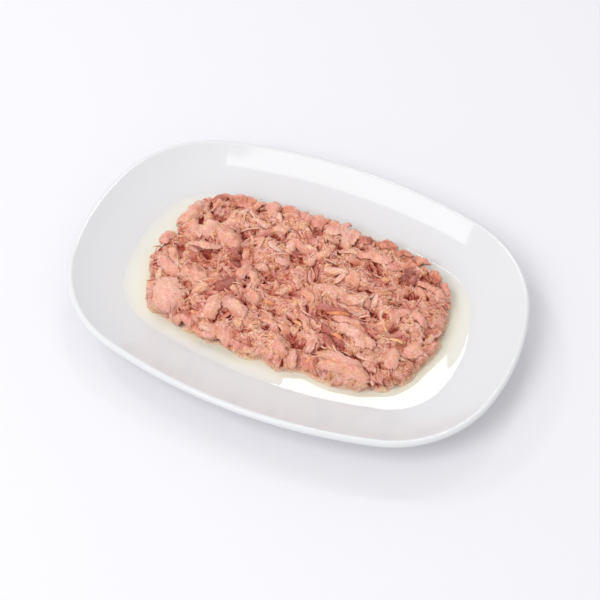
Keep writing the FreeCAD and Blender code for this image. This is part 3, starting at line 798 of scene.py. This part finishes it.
darkFlakes = {
    "name": "darkMeat", "cells": (24, 9), "seed": 31,
    "torn": 1.0, "jag": 0.16, "ridges": 4, "ridge": 0.14 * mm, "rumple": 0.16 * mm,
    "usual": (0.5, 1.2, 0.2, 0.9, 1, 0),
    "laid": (
        (-34, -14.5, 44, 6, 3.2, 0.35, 1.8, 0.6, 0.9, 1, 8), (-37, 3.5, 54, 3.6, 2.4, 0.3, 1.4),
        (-34, 0.5, -20, 2.6, 1.8, 0.2, 1.4), (-38.6, 7, 10, 2.4, 1.7, 0.5, 1.4, 0.3),
        (51, 29.5, -10, 2.8, 2.4, 0.3, 1.6, 0.4), (54, 26.4, 60, 2.7, 2.2, 0.5, 1.6, 0.3),
        (50, 25.6, 20, 2.3, 1.9, 0.15, 1.5), (-10, 18, -26, 4.2, 1.4, 0.5, 1, 0.2, 0.6, 0.8),
        (26, -20.6, -16, 5.6, 1.7, 0.4, 1.2, 0.7, 0.5, 0.7, 14),
        (34, -24, -22, 5.4, 1.9, 0.3, 1.2, 0.5, 0.5, 0.7, -8), (29, -26, -30, 5.2, 1.6, 0.55, 1.2, 0.5, 0.5, 0.7, 10),
        (20, -8.6, 12, 5.2, 1.8, 0.75, 1.2, 0.5, 0.5, 0.7, 8), (28, -7.6, -4, 5.6, 1.5, 0.6, 1.2, 0.4, 0.5, 0.7, -8),
        (18, -17, -38, 4.4, 1.5, 0.5, 1.2, 0.5, 0.5, 0.7),
    ),
}
orangeBits = {
    "name": "orangeBits", "cells": (12, 4), "seed": 41,
    "torn": 1.0, "jag": 0.12, "ridges": 2, "ridge": 0.04 * mm, "rumple": 0.06 * mm,
    "usual": (0.6, 0.8, 0.9, 0.4, 0.5, 0),
    "laid": (
        (-8.3, -16.7, -9, 3.2, 1.1, 0.6, 0.7), (-41.7, -35.2, 12, 2.6, 1.1), (10.2, -22, -24, 3.2, 1.2, 0.7),
        (26.8, -9.4, 15, 6.2, 1.1, 0.4, 0.8, 1.2, 0.4, 0.5, 10), (30.4, -21.7, -16, 4.6, 1, 0.6, 0.7, 1.2, 0.3),
        (22.8, -38.5, 66, 1.8, 0.9, 0.7), (-50, -6.2, 9, 1, 0.8, 1, 0.8, 0.8), (-58, 24.5, 22, 2, 1, 0.2, 0.8, 0.4),
        (41, 21, 17, 2.2, 1, 0.8, 0.7, 0.4, 0.4, 0.6, 10), (60, -12, 5, 3.6, 1.2, 1, 0.9, 0.9, 0.4, 0.6),
        (51, -6, -53, 4.4, 0.8, 1, 0.8, 1, 0.5, 0.6), (17.7, -8.6, -20, 3, 0.9, 0.3, 0.7),
        (50.7, -38.5, -10, 2.4, 1, 0.9, 0.8, 0.8), (-54.5, -15.2, 8, 1.2, 0.8, 0.9, 0.7, 1.2),
    ),
}
threads = {
    "name": "threads", "cells": (14, 2), "seed": 51, "count": 26,
    "torn": 1.0, "jag": 0.0, "ridges": 1, "ridge": 0.02 * mm, "rumple": 0.05 * mm,
    "usual": (0.9, 0.4, 1.6, 0.6, 0.3, 0),
    "laid": (
        (-60.7, 30.7, 76, 7, 0.34, 0.9, 0.4, 2, 0.5), (-61, 39, -55, 4.4, 0.3, 0.8, 0.4, 1.6, 0.5),
        (-62, -13.4, -61, 8, 0.32, 0.9, 0.4, 1.7, 0.5), (-36, 22.8, 29, 6, 0.34, 0.9, 0.4, 1.5, 0.4),
        (-22.6, -6.2, -49, 5.4, 0.34, 0.9, 0.4, 2, 0.8), (-21.3, -11.5, -86, 3.2, 0.3, 0.8),
        (-15.2, 12.5, 32, 4.5, 0.3), (27.5, -29.9, -16, 1.8, 0.4, 1, 0.4, 1.8), (33.6, -29.5, -37, 3.2, 0.4, 1),
        (0.6, 19.3, 56, 2.6, 0.3, 0.9, 0.4, 1.8), (-52, 17.9, -30, 4.2, 0.3, 0.8, 0.4, 2.2),
        (-8.3, -22.9, -11, 3, 0.3, 0.8), (40, -5.9, 32, 3.2, 0.36, 0.9, 0.4, 1.9, 0.7), (11.7, -15.2, -11, 3.9, 0.34),
        (-27.6, -12.5, 18, 3.4, 0.3, 0.8, 0.4, 1.7), (36.6, 21.5, -9, 2.6, 0.3),
        (-33.9, 17.5, 50, 4.3, 0.3, 0.8, 0.4, 1.5),
    ),
    # the rest of the count, at random, in the same measures but for the turn, in radians
    "within": 0.9, "turn": (-0.35, 0.9), "length": (1.6, 5.0), "width": (0.16, 0.34), "thick": 0.3,
    "bend": (-0.3, 1.0), "lift": (0.6, 1.4), "tone": (0.5, 1.0),
}


def laidFlake(kind, row, rng):
    x, y, turn, length, width, *rest = row
    tone, thick, lift, bend, cup, roll = (*rest, *kind["usual"][len(rest):])
    flake = dict(kind, length=length * mm, width=width * mm, thick=thick * mm, bend=bend, cup=cup,
                 twist=rng.uniform(-0.25, 0.25), sway=rng.uniform(-0.1, 0.1), blunt=rng.uniform(2.2, 6.0),
                 crest=rng.uniform(1.1, 2.0), roll=math.radians(roll) + rng.normal(0, 0.15))
    return flake, (x * mm, y * mm), math.radians(turn), lift * mm, tone


def strewnRow(kind, rng):
    # a row like the laid ones, at random
    angle, out = rng.uniform(-math.pi, math.pi), math.sqrt(rng.uniform(0, kind["within"]))
    reach = float(reachAt(angle)) * out / mm
    turn = math.degrees(rng.normal(*kind["turn"]))
    length, width, bend, lift, tone = [rng.uniform(*kind[key]) for key in ("length", "width", "bend", "lift", "tone")]
    return (heapCentre.x / mm + reach * math.cos(angle), heapCentre.y / mm + reach * math.sin(angle), turn,
            length, width, tone, kind["thick"], lift, bend)


def layByHand(kind, material):
    rng = np.random.default_rng(kind["seed"])
    template = leafTemplate(*kind["cells"])
    placed = []
    rows = list(kind["laid"])
    while len(rows) < kind.get("count", 0):
        rows.append(strewnRow(kind, rng))
    for row in rows:
        flake, place, turn, lift, tone = laidFlake(kind, row, rng)
        leaf, fold = bentLeaf(template[0], flake, rng)
        leaf = settle(leaf, place, turn, lift, rest["follow"], kind.get("stray", rest["stray"]))
        placed.append((leaf, fold, tone, (flake["length"], flake["width"])))
    return joinedLeaves(kind["name"], template, placed, material)


brothLook = {
    "straw": (0.995, 0.98, 0.89),     # away from the heap
    "amber": (0.985, 0.93, 0.75),     # close to the flakes: steeped colour and painted shade of the heap
    "thin": (0.93, 0.93, 0.92),       # at the wall, where it runs out to nothing
    "steepWidth": 4.0 * mm, "steepPower": 1.3, "thinWidth": 3.0 * mm, "cloudScale": 90.0,
    "rows": 30, "around": 480,
    "rowShares": (0, 0.1, 0.45, 0.7, 1),    # of the rows, out to each of the places in makeBroth
    "underFlakes": 0.93,              # the pool runs on under the flakes to this share of their reach
    "heapBand": 1.8 * mm, "wallBand": 1.5 * mm,     # where the rows crowd, as the surface climbs there
    "intoWall": 1.3 * mm, "intoFloor": 0.12 * mm, "thinnest": 0.05 * mm,
    "wallClimb": 0.05 * mm, "heapClimb": 1.2 * mm, "climbWidth": 0.7 * mm,
}


def poolEdge(angle):
    # where the broth's level meets the platter's inner wall
    start = heapCentre + Vector((0, 0, brothLevel))
    return platterTree.ray_cast(start, outward(angle))[3]


def makeBroth(material):
    look = brothLook
    bm = gridMesh(look["around"], look["rows"])
    for v in bm.verts:
        angle = math.pi * v.co.x
        inner, outer = heapReach(angle), poolEdge(angle)
        d = np.interp(0.5 + 0.5 * v.co.y, look["rowShares"],
                      (inner * look["underFlakes"], inner, inner + look["heapBand"],
                       outer - look["wallBand"], outer + look["intoWall"]))
        climb = look["wallClimb"] * math.exp(-max(outer - d, 0) / look["climbWidth"])
        climb += look["heapClimb"] * math.exp(-max(d - inner, 0) / look["climbWidth"])
        place = heapCentre + outward(angle) * d
        v.co = (place.x, place.y, brothLevel + climb)
    bmesh.ops.remove_doubles(bm, verts=bm.verts, dist=0.001 * mm)
    grown = bmesh.ops.extrude_face_region(bm, geom=bm.faces[:])
    for v in grown["geom"]:
        if isinstance(v, bmesh.types.BMVert):
            floor = platterTree.ray_cast(Vector((v.co.x, v.co.y, castHeight)), down)[0]
            v.co.z = min(v.co.z - look["thinnest"], floor.z - look["intoFloor"])
    bmesh.ops.recalc_face_normals(bm, faces=bm.faces)
    for f in bm.faces:
        f.smooth = True
    # near the heap: steeped colour, and painted shade where the heap shades the broth
    steepAndShade, thin = [], []
    for v in bm.verts:
        flat = v.co - heapCentre
        angle, far = math.atan2(flat.y, flat.x), flat.xy.length
        steepAndShade.append(math.exp(-(max(far - heapReach(angle), 0) / look["steepWidth"]) ** look["steepPower"]))
        thin.append(math.exp(-max(poolEdge(angle) - far, 0) / look["thinWidth"]))
    mesh = meshFrom(bm, "broth")
    setAttribute(mesh, "steepAndShade", steepAndShade)
    setAttribute(mesh, "thin", thin)
    return finish("brothPool", mesh, material, "broth", "broth")


def brothMaterial():
    look = brothLook
    material, tree, shader, place = newMaterial("broth")
    cloud = noise(tree, place, Scale=look["cloudScale"], Detail=3.0)
    cloud = mathNode(tree, "ADD", times(tree, cloud, 0.9), 0.45)
    # amber near the heap is partly steeped broth and partly painted shade of the heap
    steepAndShade = times(tree, attribute(tree, "steepAndShade"), cloud, clamp=True)
    tint = mixColour(tree, steepAndShade, look["straw"], look["amber"])
    tint = mixColour(tree, attribute(tree, "thin"), tint, look["thin"])
    # what isn't transmitted is the broth's cloudiness
    feedInputs(tree, shader, Base_Color=tint, Roughness=0.02, IOR=1.34, Transmission_Weight=0.78)
    clear = addNode(tree, "BsdfTransparent", Color=tint)
    # lamps shine through it; only the camera sees its surface
    mixShaders(tree, addNode(tree, "LightPath").outputs["Is Camera Ray"], clear, shader)
    return material


glazeLook = {
    "white": (0.70, 0.705, 0.715), "shade": (0.685, 0.69, 0.70), "cloudScale": 28.0,
    "roughness": 0.07, "rippleScale": 120.0, "ripple": 0.03, "rippleDepth": 0.3 * mm,
    # the foot ring's seat is bare up to here, with a wavering edge
    "bisque": (0.74, 0.70, 0.63), "bisqueHeight": 0.9 * mm, "wobble": 0.5 * mm, "wobbleScale": 160.0,
    # under the broth the glaze hardly mirrors, so it is duller there
    "dull": 0.6, "wetOver": 0.05 * mm, "wetBeyond": 4 * mm, "wetPower": 3.0,
}


def glazeMaterial():
    look = glazeLook
    material, tree, shader, place = newMaterial("glaze")
    white = mixColour(tree, noise(tree, place, Scale=look["cloudScale"], Detail=2.0), look["white"], look["shade"])
    x, y, z = addNode(tree, "SeparateXYZ", {0: place}).outputs
    wobble = times(tree, noise(tree, place, Scale=look["wobbleScale"]), look["wobble"])
    bare = mathNode(tree, "LESS_THAN", mathNode(tree, "ADD", z, wobble), look["bisqueHeight"])

    def across(axis, half):
        share = mathNode(tree, "DIVIDE", mathNode(tree, "ABSOLUTE", axis), half + look["wetBeyond"])
        return mathNode(tree, "POWER", share, look["wetPower"])

    out = mathNode(tree, "ADD", across(x, brothHigh.x), across(y, brothHigh.y))
    wet = times(tree, mathNode(tree, "LESS_THAN", z, brothLevel + look["wetOver"]),
                   mathNode(tree, "LESS_THAN", out, 1.0))
    dull = times(tree, mathNode(tree, "MAXIMUM", bare, wet), look["dull"])
    ripple = noise(tree, place, Scale=look["rippleScale"], Detail=1.0)
    bump = addNode(tree, "Bump", Height=ripple, Strength=look["ripple"], Distance=look["rippleDepth"])
    feedInputs(tree, shader, Base_Color=mixColour(tree, bare, white, look["bisque"]),
               Roughness=mathNode(tree, "ADD", dull, look["roughness"]), Normal=bump.outputs[0], IOR=1.52)
    return material


flesh = fleshMaterial("flesh", fleshLook)
mashFlesh = fleshMaterial("mashFlesh", mashLook)
darkMeat = fleshMaterial("darkMeat", dict(mashLook, tones=darkTones, fibreMix=0.9))
orange = fleshMaterial("orangeFat", dict(fleshLook, tones=orangeTones, fibreMix=0.3, paintedShadeMix=0.3))
thread = fleshMaterial("threads", dict(fleshLook, tones=threadTones, fibreMix=0.2, grainMix=0.2, paintedShadeMix=0.2))
platter.data.materials.clear()
platter.data.materials.append(glazeMaterial())
makeMash(mashFlesh)
layByHand(largeFlakes, flesh)
layByHand(smoothChunks, flesh)
layByHand(darkFlakes, darkMeat)
layByHand(orangeBits, orange)
layByHand(threads, thread)
looseRng = np.random.default_rng(77)
strew(mediumFlakes, looseRng, mashFlesh)
strew(smallShreds, looseRng, mashFlesh)
makeBroth(brothMaterial())


def makeFloor():
    mesh = meshFrom(gridMesh(1, 1, size=6), "floor")
    floor = newObject("floor", mesh)
    material, tree, shader, _ = newMaterial("floor")
    feedInputs(tree, shader, Base_Color=(0.76, 0.755, 0.785, 1), Roughness=0.9)
    # a tenth of what the camera sees of the floor is an even glow
    glow = addNode(tree, "Emission", Color=(0.93, 0.92, 0.965, 1), Strength=1.0)
    rays = addNode(tree, "LightPath")
    share = times(tree, rays.outputs["Is Camera Ray"], 0.1)
    mixShaders(tree, share, shader, glow)
    mesh.materials.append(material)


def direction(azimuth, elevation):
    a, e = math.radians(azimuth), math.radians(elevation)
    return Vector((math.cos(a) * math.cos(e), math.sin(a) * math.cos(e), math.sin(e)))


def softbox(name, azimuth, elevation, distance, size, power, along, mirrored=True):
    # an area lamp that faces the platter, its width turned towards along
    lamp = bpy.data.lights.new(name, "AREA")
    lamp.shape = "RECTANGLE"
    lamp.size, lamp.size_y = size
    lamp.energy = power
    away = direction(azimuth, elevation)
    side = (along - away * along.dot(away)).normalized()
    holder = newObject(name, lamp)
    holder.location = away * distance + Vector((0, 0, wellFloor))
    holder.rotation_euler = Matrix((side, away.cross(side), away)).transposed().to_euler()
    holder.visible_glossy = mirrored


makeFloor()
# two boxes mirror in the glaze; the fills add light without a second reflection
softbox("backSoftbox", 104.8, 59, 1.2, size=(0.22, 0.12), power=1.0, along=direction(194.8, 0))
softbox("sideFill", 162, 46, 1.2, size=(0.16, 0.12), power=1.3, along=direction(72, 0), mirrored=False)
softbox("frontSoftbox", -115, 54.8, 1.5, size=(0.46, 0.74), power=2.9, along=Vector((1, 0, 0)))
softbox("frontFill", -115, 54.8, 1.5, size=(0.7, 0.8), power=7.6, along=Vector((1, 0, 0)), mirrored=False)

world = bpy.data.worlds.new("studio")
bpy.context.scene.world = world
world.use_nodes = True
background = world.node_tree.nodes["Background"]
background.inputs[0].default_value = (0.985, 0.985, 1.0, 1)
background.inputs[1].default_value = 0.78

# distance and shifts in half lengths of the platter, lens and sensor in mm
shot = {"azimuth": 23.34, "elevation": 54.92, "distance": 6.008, "right": -0.0139, "up": 0.0853,
        "lens": 84, "sensor": 36, "nearest": 0.05}


def placeCamera():
    az, el = math.radians(shot["azimuth"]), math.radians(shot["elevation"])
    back = Vector((math.sin(az) * math.cos(el), -math.cos(az) * math.cos(el), math.sin(el)))
    right = Vector((math.cos(az), math.sin(az), 0))
    top = back.cross(right)
    camera = newObject("camera", bpy.data.cameras.new("camera"))
    camera.data.lens = shot["lens"]
    camera.data.sensor_width = shot["sensor"]
    offset = back * shot["distance"] - right * shot["right"] - top * shot["up"]
    camera.location = Vector((0, 0, rimHeight)) + offset * halfLength
    camera.rotation_euler = Matrix((right, top, back)).transposed().to_euler()
    camera.data.clip_start = shot["nearest"]
    bpy.context.scene.camera = camera


placeCamera()
bpy.context.scene.view_settings.view_transform = "Standard"
print("stage, lamps and camera set")
